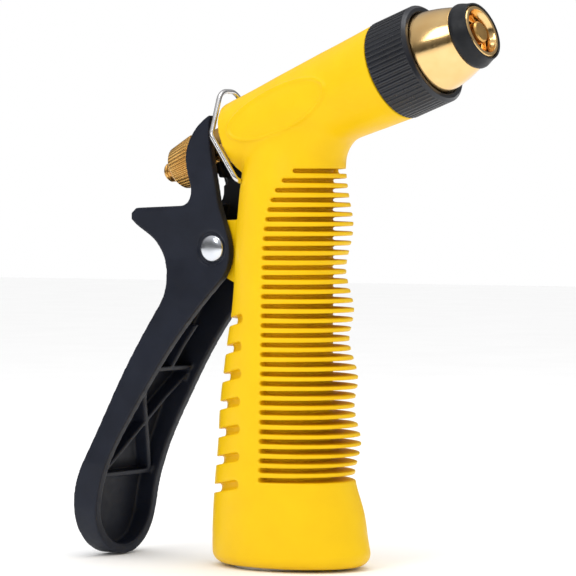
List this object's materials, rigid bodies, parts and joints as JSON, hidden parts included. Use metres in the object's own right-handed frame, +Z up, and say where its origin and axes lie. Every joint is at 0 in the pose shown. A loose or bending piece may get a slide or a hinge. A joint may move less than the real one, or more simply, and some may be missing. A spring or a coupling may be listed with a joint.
{
  "type": "hose spray nozzle",
  "caption": "Rear-lever hose spray nozzle with a ribbed grip cover, brass spray head, adjusting nut and wire hold-open clip, for a garden hose thread.",
  "frame": {"origin": "centre of the hose inlet mouth, on the flat end of the handle", "axes": "+X the way it sprays, +Z up the inlet axis, Y across it; the nozzle is alike on both sides of the XZ plane"},
  "size_m": [0.1442, 0.039, 0.1716],
  "materials": {
    "grip_yellow": "satin",
    "lever_black": "satin",
    "collar_black": "satin",
    "cast_metal": "matte",
    "polished_brass": "polished",
    "turned_brass": "satin",
    "black_rubber": "matte",
    "plated_steel": "satin",
    "stainless_wire": "gloss",
    "white_nylon": "satin"
  },
  "bodies": {
    "body": {"body_casting": "cast_metal", "grip_cover": "grip_yellow", "spray_head": "polished_brass", "head_bumper": "black_rubber", "head_o_ring": "black_rubber", "spring_seat": "plated_steel", "stem_packing": "black_rubber", "packing_washer": "turned_brass", "gland_nut": "turned_brass", "pivot_rivet": "plated_steel", "pivot_washers": "white_nylon", "hose_washer": "black_rubber"},
    "collar": {"thread_collar": "collar_black"},
    "lever": {"trigger_lever": "lever_black"},
    "stem": {"valve_stem": "turned_brass", "stem_seal": "black_rubber", "seal_nut": "turned_brass", "spring_washer": "plated_steel", "stem_spring": "stainless_wire"},
    "nut": {"adjusting_nut": "turned_brass"},
    "clip": {"hold_open_clip": "stainless_wire"}
  },
  "joints": [
    {"name": "lever_pivot", "type": "hinge", "parent": "body", "child": "lever", "pos_m": [-0.02, 0, 0.0982], "axis": [0, -1, 0], "range_deg": [0, 14], "stiffness_Nm_per_rad": 1.8, "springref_deg": -17.19},
    {"name": "stem_slide", "type": "slide", "parent": "body", "child": "stem", "axis": [-0.9397, 0, -0.342], "range_m": [0, 0.0075], "deforming": ["stem_spring"]},
    {"name": "nut_turn", "type": "hinge", "parent": "stem", "child": "nut", "pos_m": [-0.03289, 0, 0.12533], "axis": [0.9397, 0, 0.342], "range_deg": [-1080, 1080]},
    {"name": "collar_turn", "type": "hinge", "parent": "body", "child": "collar", "pos_m": [0.04886, 0, 0.15509], "axis": [0.9397, 0, 0.342], "range_deg": [0, 2160]},
    {"name": "clip_swing", "type": "hinge", "parent": "body", "child": "clip", "pos_m": [-0.0089, 0, 0.119], "axis": [0, -1, 0], "range_deg": [0, 26]}
  ],
  "couplings": [
    {"joint": "stem_slide", "follows": "lever_pivot", "m_per_rad": 0.0299},
    {"joint": "clip_swing", "follows": "lever_pivot", "ratio": 1.786}
  ]
}
